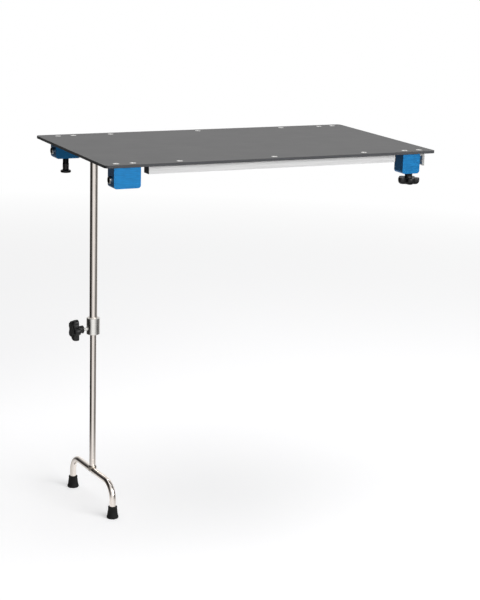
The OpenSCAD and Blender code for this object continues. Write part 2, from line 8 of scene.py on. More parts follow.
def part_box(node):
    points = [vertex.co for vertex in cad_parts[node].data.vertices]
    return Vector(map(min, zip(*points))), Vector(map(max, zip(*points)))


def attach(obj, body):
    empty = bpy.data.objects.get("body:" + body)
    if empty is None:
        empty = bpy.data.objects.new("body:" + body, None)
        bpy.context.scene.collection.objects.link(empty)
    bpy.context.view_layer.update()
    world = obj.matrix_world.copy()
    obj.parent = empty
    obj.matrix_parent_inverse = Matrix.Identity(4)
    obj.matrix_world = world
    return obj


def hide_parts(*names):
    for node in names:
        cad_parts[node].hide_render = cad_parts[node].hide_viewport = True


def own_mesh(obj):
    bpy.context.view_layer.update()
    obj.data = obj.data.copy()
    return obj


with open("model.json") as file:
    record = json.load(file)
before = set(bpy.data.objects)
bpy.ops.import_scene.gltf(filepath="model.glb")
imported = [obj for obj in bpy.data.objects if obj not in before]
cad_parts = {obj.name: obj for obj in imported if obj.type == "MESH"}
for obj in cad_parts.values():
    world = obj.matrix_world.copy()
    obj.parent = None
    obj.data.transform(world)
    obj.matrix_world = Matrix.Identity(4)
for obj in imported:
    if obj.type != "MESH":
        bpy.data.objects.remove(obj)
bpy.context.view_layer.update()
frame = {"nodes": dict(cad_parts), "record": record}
mm = 0.001
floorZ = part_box("foot_tip_near")[0].z
print("frame loaded:", len(frame["nodes"]), "nodes")


# Working with meshes

# vertices closer than a gap are one, and the angles are in degrees
meshCare = {"gap": 0.001, "packedGap": 0.002, "flatAngle": 0.4, "sharpAngle": 28, "segments": 2,
            "bigFaceWeight": 100}
squareOn = 0.9  # a face looks along an axis when its normal has more than this share of it


def deselectAll():
    if bpy.context.object and bpy.context.object.mode == "EDIT":
        bpy.ops.object.mode_set(mode="OBJECT")
    bpy.ops.object.select_all(action="DESELECT")


def pick(piece):
    # makes one piece the only selected and active one
    deselectAll()
    piece.select_set(True)
    bpy.context.view_layer.objects.active = piece


def settle(piece, name):
    # bakes the place into the mesh, so that the object itself sits at the origin
    pick(piece)
    bpy.ops.object.transform_apply(location=True, rotation=True, scale=True)
    piece.name = piece.data.name = name
    return piece


def stood(piece, place, turn=None):
    # moves a piece that was modelled at the origin to its seat
    piece.matrix_world = Matrix.Translation(place) @ (turn or Matrix.Identity(4))
    return settle(piece, piece.name)


def footOf(node):
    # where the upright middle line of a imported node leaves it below
    low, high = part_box(node)
    return Vector(((low.x + high.x) / 2, (low.y + high.y) / 2, low.z))


def applyAll(piece):
    pick(piece)
    for modifier in list(piece.modifiers):
        bpy.ops.object.modifier_apply(modifier=modifier.name)


def smoothBy(piece, degrees):
    pick(piece)
    bpy.ops.object.shade_smooth_by_angle(angle=math.radians(degrees))


def selectFaces(piece, test):
    # in edit mode: selects the faces that pass a test of their centre and normal
    bpy.ops.object.mode_set(mode="OBJECT")
    for part in (piece.data.vertices, piece.data.edges, piece.data.polygons):
        part.foreach_set("select", [False] * len(part))
    for face in piece.data.polygons:
        face.select = test(face.center, face.normal)
    bpy.ops.object.mode_set(mode="EDIT")
    bpy.ops.mesh.select_mode(type="FACE")


def recalculate(piece):
    pick(piece)
    bpy.ops.object.mode_set(mode="EDIT")
    bpy.ops.mesh.select_all(action="SELECT")
    bpy.ops.mesh.remove_doubles(threshold=meshCare["gap"] * mm)
    bpy.ops.mesh.normals_make_consistent(inside=False)
    bpy.ops.object.mode_set(mode="OBJECT")


def softened(node, name, width):
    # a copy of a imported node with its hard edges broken, as a file or a tumbler leaves them
    piece = bpy.data.objects.new(name, frame["nodes"][node].data.copy())
    bpy.context.scene.collection.objects.link(piece)
    pick(piece)
    bpy.ops.mesh.customdata_custom_splitnormals_clear()
    bpy.ops.object.mode_set(mode="EDIT")
    bpy.ops.mesh.select_all(action="SELECT")
    bpy.ops.mesh.remove_doubles(threshold=meshCare["packedGap"] * mm)
    bpy.ops.mesh.dissolve_limited(angle_limit=math.radians(meshCare["flatAngle"]))
    bpy.ops.object.mode_set(mode="OBJECT")
    bevel = piece.modifiers.new("edges", "BEVEL")
    bevel.width = width * mm
    bevel.segments = meshCare["segments"]
    bevel.limit_method = "ANGLE"
    bevel.angle_limit = math.radians(meshCare["sharpAngle"])
    bevel.use_clamp_overlap = True
    bevel.miter_outer = "MITER_ARC"
    applyAll(piece)
    piece.data.materials.clear()
    smoothBy(piece, meshCare["sharpAngle"])
    # the big faces keep their own flat normals, and only the broken edges shade round
    flat = piece.modifiers.new("flatFaces", "WEIGHTED_NORMAL")
    flat.keep_sharp = True
    flat.weight = meshCare["bigFaceWeight"]
    applyAll(piece)
    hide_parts(node)
    return piece


def turned(name, rings, sides, closed=False):
    # a lathe piece round the Z axis: rings is a list of (radius, height), and a closed one has a bore
    radius, height = rings[0]
    deselectAll()
    bpy.ops.mesh.primitive_circle_add(vertices=sides, radius=radius * mm, location=(0, 0, height * mm),
                                      fill_type="NOTHING" if closed else "NGON")
    piece = bpy.context.object
    settle(piece, name)
    bpy.ops.object.mode_set(mode="EDIT")
    bpy.ops.mesh.select_mode(type="VERT")
    bpy.ops.mesh.select_all(action="SELECT")
    for (r0, z0), (r1, z1) in zip(rings, rings[1:]):
        bpy.ops.mesh.extrude_region_move(TRANSFORM_OT_translate={"value": (0, 0, (z1 - z0) * mm)})
        bpy.ops.transform.resize(value=(r1 / r0, r1 / r0, 1), center_override=(0, 0, z1 * mm))
    if closed:
        bpy.ops.mesh.select_all(action="DESELECT")
        bpy.ops.mesh.select_non_manifold()
        bpy.ops.mesh.bridge_edge_loops()
    recalculate(piece)
    return piece


# Materials: in each look, sizes are in mm, rough is the roughness from the smoothest to the dullest spot, and
# bump is the depth and strength of the relief

noiseSpan = {"From Min": 0.3, "From Max": 0.7}  # most of a noise lies between these two values
wavePeriod = 0.314  # how long one band of a wave texture of scale 1 is


def linear(hexColour):
    channels = [int(hexColour[i:i + 2], 16) / 255 for i in (1, 3, 5)]
    return tuple(c / 12.92 if c <= 0.04045 else ((c + 0.055) / 1.055) ** 2.4 for c in channels) + (1.0,)


def addNode(tree, kind, inputs=None, **settings):
    node = tree.nodes.new(kind)
    for key, value in settings.items():
        setattr(node, key, value)
    for key, value in (inputs or {}).items():
        if isinstance(value, bpy.types.NodeSocket):
            tree.links.new(value, node.inputs[key])
        else:
            node.inputs[key].default_value = value
    return node


def newMaterial(name, **sockets):
    material = bpy.data.materials.new(name)
    material.use_nodes = True
    tree = material.node_tree
    shader = tree.nodes["Principled BSDF"]
    for key, value in sockets.items():
        shader.inputs[key.replace("_", " ")].default_value = value
    place = addNode(tree, "ShaderNodeTexCoord").outputs["Object"]
    return material, tree, shader, place


def spread(tree, place, size, stretch=(1, 1, 1), detail=3, roughness=0.55):
    # an uneven pattern whose grain is size millimetres, drawn out along an axis by stretch
    scaled = addNode(tree, "ShaderNodeMapping",
                     {"Vector": place, "Scale": tuple(1 / (size * mm * s) for s in stretch)})
    return addNode(tree, "ShaderNodeTexNoise", {"Vector": scaled.outputs["Vector"], "Scale": 1.0,
                                                "Detail": detail, "Roughness": roughness}).outputs["Fac"]


def dressed(tree, shader, pattern, look, relief, rougher=()):
    # the pattern's high parts are paler and duller than its low ones, and the relief raises the surface
    share = addNode(tree, "ShaderNodeMapRange", {"Value": pattern, **noiseSpan}).outputs["Result"]
    colour = addNode(tree, "ShaderNodeMix", {0: share, 6: linear(look["dark"]), 7: linear(look["light"])},
                     data_type="RGBA").outputs[2]
    smooth, dull = look["rough"]
    rough = addNode(tree, "ShaderNodeMapRange", {"Value": pattern, "To Min": smooth, "To Max": dull,
                                                 **noiseSpan}).outputs["Result"]
    for more in rougher:
        rough = addNode(tree, "ShaderNodeMath", {0: rough, 1: more}, operation="ADD").outputs[0]
    depth, strength = look["bump"]
    bump = addNode(tree, "ShaderNodeBump", {"Height": relief, "Distance": depth * mm, "Strength": strength})
    for socket, value in (("Base Color", colour), ("Roughness", rough), ("Normal", bump.outputs["Normal"])):
        tree.links.new(value, shader.inputs[socket])
    return colour


def phenolicLaminate():
    # pressed carbon and phenolic sheet: dark and even, with a fine matt peel, a few faint scuffs, and a band
    # round the sawn edge painted paler than the faces, a painted highlight standing in for the light on that
    # edge
    look = {"dark": "#2c2d2f", "light": "#343537", "rough": (0.42, 0.45), "bump": (0.02, 0.5), "peel": 0.9,
            "cloud": 70, "scuff": 22, "scuffStretch": (6, 0.5, 1), "scuffRough": 0.02,
            # the paler "core" colour and its two heights are painted light on the sawn edge, not the sheet's
            # own colour
            "core": "#4c4d50", "edgeLightFrom": 6.4, "edgeLightTo": 11.9}
    material, tree, shader, place = newMaterial("phenolicLaminate", IOR=1.5, Specular_IOR_Level=0.38)
    cloud = spread(tree, place, look["cloud"], detail=4)
    scuff = spread(tree, place, look["scuff"], look["scuffStretch"], detail=5, roughness=0.7)
    scuffed = addNode(tree, "ShaderNodeMapRange", {"Value": scuff, "To Max": look["scuffRough"], **noiseSpan})
    peel = spread(tree, place, look["peel"], detail=2)
    face = dressed(tree, shader, cloud, look, peel, [scuffed.outputs["Result"]])
    # painted highlight: the band between two heights on the sawn edge takes the paler colour
    height = addNode(tree, "ShaderNodeSeparateXYZ", {0: place}).outputs["Z"]
    above = addNode(tree, "ShaderNodeMath", {0: height, 1: look["edgeLightFrom"] * mm}, operation="GREATER_THAN")
    below = addNode(tree, "ShaderNodeMath", {0: height, 1: look["edgeLightTo"] * mm}, operation="LESS_THAN")
    paintedEdgeLight = addNode(tree, "ShaderNodeMath", {0: above.outputs[0], 1: below.outputs[0]}, operation="MULTIPLY")
    sheet = addNode(tree, "ShaderNodeMix", {0: paintedEdgeLight.outputs[0], 6: face, 7: linear(look["core"])},
                    data_type="RGBA")
    tree.links.new(sheet.outputs[2], shader.inputs["Base Color"])
    return material


def anodisedAluminium():
    # drawn bar, satin anodised: pale, with faint lines along the drawing direction, drawn coarser than real
    # ones so that they show
    look = {"dark": "#dcdcdc", "light": "#e9e9e9", "rough": (0.36, 0.46), "bump": (0.01, 0.4),
            "line": 1.2, "drawn": (90, 1, 1)}
    material, tree, shader, place = newMaterial("anodisedAluminium", Metallic=0.3)
    line = spread(tree, place, look["line"], look["drawn"], detail=2)
    dressed(tree, shader, line, look, line)
    return material


def blueAnodised():
    # milled block, dyed blue and anodised: a saturated satin blue with paler cutter marks, a little coarser
    # than real ones so that they show
    look = {"dark": "#0c74b2", "light": "#1187ca", "rough": (0.38, 0.46), "bump": (0.015, 0.4),
            "cutter": 1.6, "sweep": (12, 12, 1), "grit": 0.7}
    material, tree, shader, place = newMaterial("blueAnodised", Metallic=0.5, Coat_Weight=0.05,
                                                Coat_Roughness=0.3)
    cutter = spread(tree, place, look["cutter"], look["sweep"], detail=2)
    dressed(tree, shader, cutter, look, spread(tree, place, look["grit"], detail=2))
    return material


def polishedStainless(name, along, **changes):
    # polished stainless: fine lines along a drawn tube or round a turned piece, and faint handling marks. The
    # lines are coarser than real ones, so that they show
    look = {"dark": "#e6ddd5", "light": "#fbf5f0", "rough": (0.13, 0.22), "bump": (0.008, 0.35),
            "line": 0.8, "smear": 14, "smearRough": 0.05, "bend": (90, 105), "faced": (0.5, 0.9),
            "facedRough": 0.35, **changes}
    grain = {"upright": (1, 1, 80), "bar": (1, 80, 1), "round": (80, 80, 1)}
    material, tree, shader, place = newMaterial(name, Metallic=1.0)
    line = spread(tree, place, look["line"], grain[along])
    smear = addNode(tree, "ShaderNodeMapRange", {"Value": spread(tree, place, look["smear"]),
                                                 "To Max": look["smearRough"], **noiseSpan})
    rougher = [smear.outputs["Result"]]
    if along == "bar":
        # the foot's bar lies along Y, and beyond its bends the tube stands along Z
        bendFrom, bendTo = look["bend"]
        reach = addNode(tree, "ShaderNodeSeparateXYZ", {0: place}).outputs["Y"]
        reach = addNode(tree, "ShaderNodeMath", {0: reach}, operation="ABSOLUTE").outputs[0]
        bent = addNode(tree, "ShaderNodeMapRange", {"Value": reach, "From Min": bendFrom * mm,
                                                    "From Max": bendTo * mm}).outputs["Result"]
        upright = spread(tree, place, look["line"], grain["upright"])
        line = addNode(tree, "ShaderNodeMix", {0: bent, 2: line, 3: upright}).outputs[0]
    if along == "round":
        # a faced end keeps the coarser marks of the lathe
        facedFrom, facedTo = look["faced"]
        upward = addNode(tree, "ShaderNodeNewGeometry").outputs["Normal"]
        upward = addNode(tree, "ShaderNodeSeparateXYZ", {0: upward}).outputs["Z"]
        upward = addNode(tree, "ShaderNodeMath", {0: upward}, operation="ABSOLUTE").outputs[0]
        faced = addNode(tree, "ShaderNodeMapRange", {"Value": upward, "From Min": facedFrom,
                                                     "From Max": facedTo, "To Max": look["facedRough"]})
        rougher.append(faced.outputs["Result"])
    dressed(tree, shader, line, look, line, rougher)
    return material


def blackNylon():
    # glass-filled moulding: black with a spark-eroded texture that scatters the light, about twice as coarse
    # as a real one so that it shows
    look = {"dark": "#131314", "light": "#1d1d1e", "rough": (0.38, 0.5), "bump": (0.03, 0.6),
            "cloud": 12, "spark": 0.5}
    material, tree, shader, place = newMaterial("blackNylon", IOR=1.52, Specular_IOR_Level=0.38)
    cloud = spread(tree, place, look["cloud"])
    dressed(tree, shader, cloud, look, spread(tree, place, look["spark"], detail=2))
    return material


def mouldedRubber():
    # vulcanised rubber: dull black, a little grey with dust in its pores
    look = {"dark": "#060606", "light": "#0e0e0e", "rough": (0.55, 0.75), "bump": (0.04, 0.7),
            "dust": 9, "pore": 0.8}
    material, tree, shader, place = newMaterial("mouldedRubber", IOR=1.52, Specular_IOR_Level=0.25)
    dust = spread(tree, place, look["dust"], detail=4, roughness=0.7)
    dressed(tree, shader, dust, look, spread(tree, place, look["pore"]))
    return material


def turnedMetal(name, dark, light, grain, rough, stretch=(1, 1, 1)):
    # bright fasteners, strip and small turned pieces: tool marks, coarser than real ones so that they show,
    # and small changes of gloss
    look = {"dark": dark, "light": light, "rough": rough, "bump": (0.01, 0.4)}
    material, tree, shader, place = newMaterial(name, Metallic=1.0)
    mark = spread(tree, place, grain, stretch)
    dressed(tree, shader, mark, look, mark)
    return material


def weldedStainless():
    # brushed weld: rounder and duller than the tube, with fine ripples and a straw heat tint
    look = {"dark": "#8f8578", "light": "#b9b4ac", "rough": (0.30, 0.42), "bump": (0.12, 0.6),
            "tint": 5, "ripple": 1.5}
    material, tree, shader, place = newMaterial("brushedWeld", Metallic=1.0)
    ripple = addNode(tree, "ShaderNodeTexWave", {"Vector": place, "Scale": wavePeriod / (look["ripple"] * mm),
                                                 "Distortion": 2.0, "Detail": 1.0}, bands_direction="Y")
    dressed(tree, shader, spread(tree, place, look["tint"]), look, ripple.outputs["Fac"])
    return material


def threadedSteel():
    # rolled stud thread along X: bright crests one pitch apart, worn a little
    look = {"dark": "#dededc", "light": "#f2f2f0", "rough": (0.24, 0.36), "bump": (0.3, 0.7),
            "wear": 1.5, "pitch": 1.25}
    material, tree, shader, place = newMaterial("threadedSteel", Metallic=1.0)
    crest = addNode(tree, "ShaderNodeTexWave", {"Vector": place, "Scale": wavePeriod / (look["pitch"] * mm)},
                    bands_direction="X")
    dressed(tree, shader, spread(tree, place, look["wear"]), look, crest.outputs["Fac"])
    return material


def castNylon():
    # natural cast nylon: milky and slightly waxy
    look = {"dark": "#d9d6cb", "light": "#e9e7de", "rough": (0.4, 0.5), "bump": (0.02, 0.4),
            "cloud": 6, "wax": 0.6}
    material, tree, shader, place = newMaterial("castNylon", IOR=1.53)
    dressed(tree, shader, spread(tree, place, look["cloud"]), look, spread(tree, place, look["wax"]))
    return material


finishes = {
    "phenolic": phenolicLaminate(),
    "bright_aluminium": anodisedAluminium(),
    "blue_aluminium": blueAnodised(),
    "black_plastic": blackNylon(),
    "stainless": polishedStainless("polishedStainless", "upright"),
    "stainlessAcross": polishedStainless("polishedStainlessBar", "bar"),
    "stainlessTurned": polishedStainless("turnedStainless", "round", dark="#eceae6", light="#faf9f6",
                                         rough=(0.19, 0.27)),
    "boredSteel": turnedMetal("boredStainless", "#8f8e8b", "#b5b4b0", 1.0, (0.22, 0.34)),
    "weldedStainless": weldedStainless(),
    "threadedSteel": threadedSteel(),
    "hook_steel": turnedMetal("brushedSteelStrip", "#a3a3a1", "#bdbdbb", 0.7, (0.28, 0.4), (60, 1, 60)),
    "screw_steel": turnedMetal("brightScrewSteel", "#cfcfcd", "#e3e3e1", 1.0, (0.34, 0.44)),
    "spring_steel": turnedMetal("drawnSpringWire", "#6f7073", "#8b8c8f", 1.0, (0.25, 0.35)),
    "black_steel": turnedMetal("blackOxideSteel", "#141516", "#232426", 1.5, (0.3, 0.42)),
    "shoe_brass": turnedMetal("turnedBrass", "#a88440", "#c29b52", 1.0, (0.25, 0.38)),
    "nylon": castNylon(),
    "tip_rubber": mouldedRubber(),
}
print("materials made:", len(finishes))


def finish(piece, look, body):
    piece.data.materials.clear()
    piece.data.materials.append(finishes[look])
    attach(piece, body)
    return piece


# Board, bars, blocks, screws and turned pieces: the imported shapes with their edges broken

softPieces = [
    # node, new name, edge in mm, finish
    ("tabletop", "board", 0.6, "phenolic"),
    ("stiffener_near", "stiffenerBarNear", 1.0, "bright_aluminium"),
    ("stiffener_far", "stiffenerBarFar", 1.0, "bright_aluminium"),
    ("stiffener_end_caps", "stiffenerCaps", 0.8, "black_plastic"),
    ("stiffener_screws", "stiffenerScrews", 0.3, "screw_steel"),
    ("block_screws", "blockScrews", 0.3, "screw_steel"),
    ("hook_screws", "hookScrews", 0.3, "screw_steel"),
    ("end_block_near", "endBlockNear", 1.0, "blue_aluminium"),
    ("end_block_far", "endBlockFar", 1.0, "blue_aluminium"),
    ("clamp_block_near", "clampBlockNear", 1.0, "blue_aluminium"),
    ("clamp_block_far", "clampBlockFar", 1.0, "blue_aluminium"),
    ("end_sleeve_near", "endSleeveNear", 0.4, "boredSteel"),
    ("end_sleeve_far", "endSleeveFar", 0.4, "boredSteel"),
    ("rail_hook_near", "railHookNear", 0.8, "hook_steel"),
    ("rail_hook_far", "railHookFar", 0.8, "hook_steel"),
    ("leg_socket", "legSocket", 0.8, "stainlessTurned"),
    ("spare_leg_socket", "spareLegSocket", 0.8, "stainlessTurned"),
    ("leg_collar", "legCollar", 0.5, "stainlessTurned"),
    ("foot_weld", "footWeld", 0.9, "weldedStainless"),
    ("plunger_guide", "plungerGuide", 0.4, "black_steel"),
    ("leg_knob_stud", "legStud", 0.5, "threadedSteel"),
]
slotOf = {row["node"]: row["material_slot"] for row in frame["record"]["subparts"]}
bodyOf = {node: body for body, nodes in frame["record"]["behaviour"]["bodies"].items() for node in nodes}
for node, name, edge, look in softPieces:
    finish(softened(node, name, edge), look, bodyOf[node])
print("board, bars and blocks made")


# Star knobs: a round head with five lobes drawn out of its side, on a hub with a groove

knobLook = {"reach": 27.4, "core": 20.0, "head": 15.4, "sides": 40, "lobes": 5, "lobeHalf": 8.6,
            "squeeze": (0.93, 0.80), "levels": ((0.45, 1.0), (0.8, 0.965)), "faceShare": 0.79,
            "faceDepth": 0.1, "rim": 1.2, "dishEdge": 0.6, "dish": 0.6, "rounding": 2, "smooth": 50,
            "hubRadius": 9.9, "hubSides": 48, "hubRound": 1.0, "mouth": 0.6, "waist": 9.3, "grooveFrom": 2.6,
            "grooveTo": 3.6, "shoulder": 2.0, "boreStart": 1, "boreEnd": 20.0}


def starKnob(name, boreRadius, hub):
    # the hub starts at z = 0, and the head's outer face is its far end
    k = knobLook
    top = hub + k["head"]
    deselectAll()
    bpy.ops.mesh.primitive_cylinder_add(vertices=k["sides"], radius=k["core"] * mm, depth=k["head"] * mm,
                                        location=(0, 0, (hub + k["head"] / 2) * mm))
    head = bpy.context.object
    settle(head, name)
    step = (k["reach"] - k["core"]) / len(k["squeeze"]) * mm
    for lobe in range(k["lobes"]):
        # each lobe is drawn out along -X, and the head then turns on to the next one
        selectFaces(head, lambda c, n: n.x < -squareOn and abs(c.y) < k["lobeHalf"] * mm)
        for squeeze in k["squeeze"]:
            bpy.ops.mesh.extrude_region_move(TRANSFORM_OT_translate={"value": (-step, 0, 0)})
            bpy.ops.transform.resize(value=(1, squeeze, 1), center_override=(0, 0, 0))
        pick(head)
        head.rotation_euler.z = 2 * math.pi / k["lobes"]
        settle(head, name)
    # rings round the head let its side draw in towards the outer face
    bpy.ops.object.mode_set(mode="EDIT")
    bpy.ops.mesh.select_mode(type="VERT")
    for level, share in k["levels"]:
        bpy.ops.mesh.select_all(action="SELECT")
        bpy.ops.mesh.bisect(plane_co=(0, 0, (hub + k["head"] * level) * mm), plane_no=(0, 0, 1))
        bpy.ops.transform.resize(value=(share, share, 1), center_override=(0, 0, 0))
    selectFaces(head, lambda c, n: n.z > squareOn and c.z > (top - k["faceDepth"]) * mm)
    bpy.ops.transform.resize(value=(k["faceShare"], k["faceShare"], 1), center_override=(0, 0, 0))
    bpy.ops.mesh.inset(thickness=k["rim"] * mm)
    bpy.ops.mesh.inset(thickness=k["dishEdge"] * mm)
    bpy.ops.transform.translate(value=(0, 0, -k["dish"] * mm))
    selectFaces(head, lambda c, n: n.z < -squareOn)
    bpy.ops.mesh.inset(thickness=k["rim"] * mm)
    recalculate(head)
    rounded = head.modifiers.new("rounded", "SUBSURF")
    rounded.levels = rounded.render_levels = k["rounding"]
    applyAll(head)
    drilled(head, boreRadius, hub - k["boreStart"], k["boreEnd"])
    hubPiece = turned(name + "Hub", [
        (boreRadius, k["mouth"]), (boreRadius + k["mouth"], 0), (k["hubRadius"] - k["hubRound"], 0),
        (k["hubRadius"], k["hubRound"]), (k["hubRadius"], k["grooveFrom"]), (k["waist"], k["grooveTo"]),
        (k["waist"], hub - k["shoulder"]), (k["hubRadius"], hub), (boreRadius, hub)],
        k["hubSides"], closed=True)
    return head, hubPiece


def drilled(piece, radius, z0, z1):
    # cuts a blind hole down the Z axis for the stud
    deselectAll()
    bpy.ops.mesh.primitive_cylinder_add(vertices=knobLook["hubSides"], radius=radius * mm,
                                        depth=(z1 - z0) * mm, location=(0, 0, (z0 + z1) / 2 * mm))
    drill = bpy.context.object
    settle(drill, "drill")
    hole = piece.modifiers.new("hole", "BOOLEAN")
    hole.object = drill
    hole.operation = "DIFFERENCE"
    hole.solver = "EXACT"
    applyAll(piece)
    bpy.data.objects.remove(drill)


knobPlaces = [
    # name, node, body, hub length, bore radius, what it is screwed on, tilt about an axis and turn in degrees
    ("legKnob", "leg_knob", "leg_clamp_knob", 15.0, 4.0, "leg_knob_stud", -90, "Y", 20),
    ("clampKnobNear", "clamp_knob_near", "near_clamp_screw", 11.5, 5.0, "clamp_screw_near", 180, "X", 0),
    ("clampKnobFar", "clamp_knob_far", "far_clamp_screw", 11.5, 5.0, "clamp_screw_far", 180, "X", 0),
]
for name, node, body, hub, boreRadius, stud, tilt, tiltAxis, turn in knobPlaces:
    # the hub's end is the high side of the knob's box, along X for the leg's knob and along Z for the others
    seat = Vector([(low + high) / 2 for low, high in zip(*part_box(stud))])
    along = 0 if node == "leg_knob" else 2
    seat[along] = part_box(node)[1][along]
    stand = Matrix.Rotation(math.radians(tilt), 4, tiltAxis) @ Matrix.Rotation(math.radians(turn), 4, "Z")
    for piece in starKnob(name, boreRadius, hub):
        smoothBy(piece, knobLook["smooth"])
        stood(piece, seat, stand)
        finish(piece, "black_plastic", body)
        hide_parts(node)
print("star knobs made")


# Rubber tips: a flared foot with a tread ring and a lip round the tube. Each tread step is how far it lies in
# from the foot's radius, and its height

tipLook = {"foot": 14.6, "top": 11.4, "tube": 8.0, "height": 29.5, "sole": 9, "mouth": 0.6, "round": 0.7,
           "lip": 3.0, "neckIn": 0.5, "neckDrop": 4.0, "hollow": (5.0, 0.8), "sides": 64, "smooth": 40,
           "tread": ((1.2, 7.0), (0.2, 5.0), (0, 4.0), (0, 1.0), (0.8, 0.0), (3.0, 0.0), (3.4, 0.8))}


def rubberTip(name, place):
    t = tipLook
    rings = [(t["tube"], t["sole"]), (t["tube"], t["height"] - t["mouth"]),
             (t["tube"] + t["mouth"], t["height"]), (t["top"] - t["round"], t["height"]),
             (t["top"], t["height"] - t["round"]), (t["top"], t["height"] - t["lip"]),
             (t["top"] - t["neckIn"], t["height"] - t["neckDrop"])]
    rings += [(t["foot"] - inset, height) for inset, height in t["tread"]]
    tip = turned(name, rings + [t["hollow"]], t["sides"])
    smoothBy(tip, t["smooth"])
    return stood(tip, place)


for side in ("near", "far"):
    tip = rubberTip("rubberTip" + side.capitalize(), footOf("foot_tip_" + side))
    finish(tip, "tip_rubber", "lower_leg")
    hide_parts("foot_tip_" + side)
print("rubber tips made")


# Pull knob: a slim neck that flares into a thin flange, moulded round the lock pin

pullLook = {"bore": 3.0, "neck": 7.9, "flange": 13.0, "flangeHeight": 6.0, "flare": 1.8,
            "flareKnee": (0.7, 0.8), "round": 0.7, "gripShare": 0.62, "waistShare": 0.45, "waistIn": 0.35,
            "rimIn": 0.9, "rimDrops": (0.2, 1.1), "rimUnder": 1.0, "mouth": ((4.2, 0), (3.8, 0.5)),
            "mouthHeight": 0.5, "sides": 56, "smooth": 40}


def pullKnob():
    p = pullLook
    bore, neck, flange, rise, flare = (p[k] for k in ("bore", "neck", "flange", "flangeHeight", "flare"))
    kneeOut, kneeUp = p["flareKnee"]
    firstDrop, lastDrop = p["rimDrops"]
    low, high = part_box("pull_knob")
    height = (high.z - low.z) / mm
    rings = [(bore, rise), (bore, height), (neck - p["round"], height), (neck, height - p["round"]),
             (neck, height * p["gripShare"]), (neck - p["waistIn"], height * p["waistShare"]),
             (neck, rise + flare), (neck + kneeOut, rise + kneeUp), (neck + flare, rise),
             (flange - p["rimIn"], rise - firstDrop), (flange, rise - lastDrop), (flange, p["rimUnder"]),
             (flange - p["rimUnder"], 0), *p["mouth"], (bore, p["mouthHeight"])]
    knob = turned("pullKnob", rings, p["sides"], closed=True)
    smoothBy(knob, p["smooth"])
    return stood(knob, footOf("pull_knob"))


slimKnob = finish(pullKnob(), "black_plastic", "lock_plunger")
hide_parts("pull_knob")
print("pull knob made")


# Lock spring: a round wire wound in four turns

springLook = {"turns": 4, "radius": 3.75, "wire": 0.82, "sides": 12, "steps": 32, "smooth": 60, "travel": 6.0}


def coilSpring():
    s = springLook
    low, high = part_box("lock_spring")
    rise = (high.z - low.z) / mm - s["wire"]
    deselectAll()
    bpy.ops.mesh.primitive_circle_add(vertices=s["sides"], radius=s["wire"] / 2 * mm,
                                      rotation=(math.pi / 2, 0, 0),
                                      location=(s["radius"] * mm, 0, s["wire"] / 2 * mm))
    coil = bpy.context.object
    settle(coil, "lockSpring")
    wound = coil.modifiers.new("wound", "SCREW")
    wound.iterations = s["turns"]
    wound.steps = wound.render_steps = s["steps"]
    wound.screw_offset = rise / s["turns"] * mm
    applyAll(coil)
    bpy.ops.object.mode_set(mode="EDIT")
    bpy.ops.mesh.select_all(action="SELECT")
    bpy.ops.mesh.fill_holes(sides=0)
    recalculate(coil)
    smoothBy(coil, s["smooth"])
    return stood(coil, footOf("lock_spring"))


lockSpring = finish(coilSpring(), "spring_steel", "table")
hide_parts("lock_spring")
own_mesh(lockSpring)
print("lock spring made")


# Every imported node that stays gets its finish

special = {"foot_tube": "stainlessAcross"}
for node, piece in frame["nodes"].items():
    if not piece.hide_render:
        look = special.get(node, slotOf[node])
        piece.data.materials.clear()
        piece.data.materials.append(finishes[look])
print("packed nodes finished")


# Room: a pale floor that fades into a white background. Its lengths are in metres

roomLook = {"white": "#ffffff", "paper": "#e4e4e5", "bounce": "#6c6c6d", "ambient": "#f6f6f7",
            "paperGlow": "#fbfaf9", "studioSide": "#2a2826", "glow": (0.32, 0.94), "shift": 0.10,
            "farPaper": 0.6, "lift": 0.44, "sweep": (1.6, 4.4), "floorSize": 60,
            "ambientLevel": (0.03, 0.40), "ambientSide": (-0.6, 0.5)}
viewFit = {"focalPixels": 1563.3, "longSidePixels": 600, "sensor": 36, "yaw": 25.83, "pitch": 14.04,
           "roll": 1.65, "place": (-2.0485, -3.4747, 0.5745), "reach": 60}
softboxes = [
    # name, place, width and height in metres, power in watts
    ("keySoftbox", (0.8, -3.3, 1.3), (3.0, 2.4), 112),
    ("topSoftbox", (-0.3, 0.4, 3.0), (3.6, 3.0), 64),
]
lampAim = Vector((-0.4, 0, -0.2))


def sideways(tree, way):
    # how far a level direction points to the right of the photograph's view: -1 is left, and 1 is right
    levelled = addNode(tree, "ShaderNodeVectorRotate", {"Vector": way, "Angle": math.radians(viewFit["yaw"])},
                       rotation_type="Z_AXIS")
    flat = addNode(tree, "ShaderNodeVectorMath", {0: levelled.outputs[0], 1: (1, 1, 0)}, operation="MULTIPLY")
    unit = addNode(tree, "ShaderNodeVectorMath", {0: flat.outputs[0]}, operation="NORMALIZE")
    return addNode(tree, "ShaderNodeSeparateXYZ", {0: unit.outputs[0]}).outputs["X"]


def studioColour(tree, way, share=None):
    # what polished metal mirrors: white paper in front and behind, and the dark studio to the left and right
    glowEnd, sideStart = roomLook["glow"]
    shifted = addNode(tree, "ShaderNodeMath", {0: sideways(tree, way), 1: roomLook["shift"]},
                      operation="SUBTRACT")
    across = addNode(tree, "ShaderNodeMath", {0: shifted.outputs[0]}, operation="ABSOLUTE")
    shade = addNode(tree, "ShaderNodeMapRange", {"Value": across.outputs[0], "From Min": glowEnd,
                                                 "From Max": sideStart}).outputs["Result"]
    if share:
        shade = addNode(tree, "ShaderNodeMath", {0: shade, 1: share}, operation="MULTIPLY").outputs[0]
    return addNode(tree, "ShaderNodeMix", {0: shade, 6: linear(roomLook["paperGlow"]),
                                           7: linear(roomLook["studioSide"])}, data_type="RGBA").outputs[2]


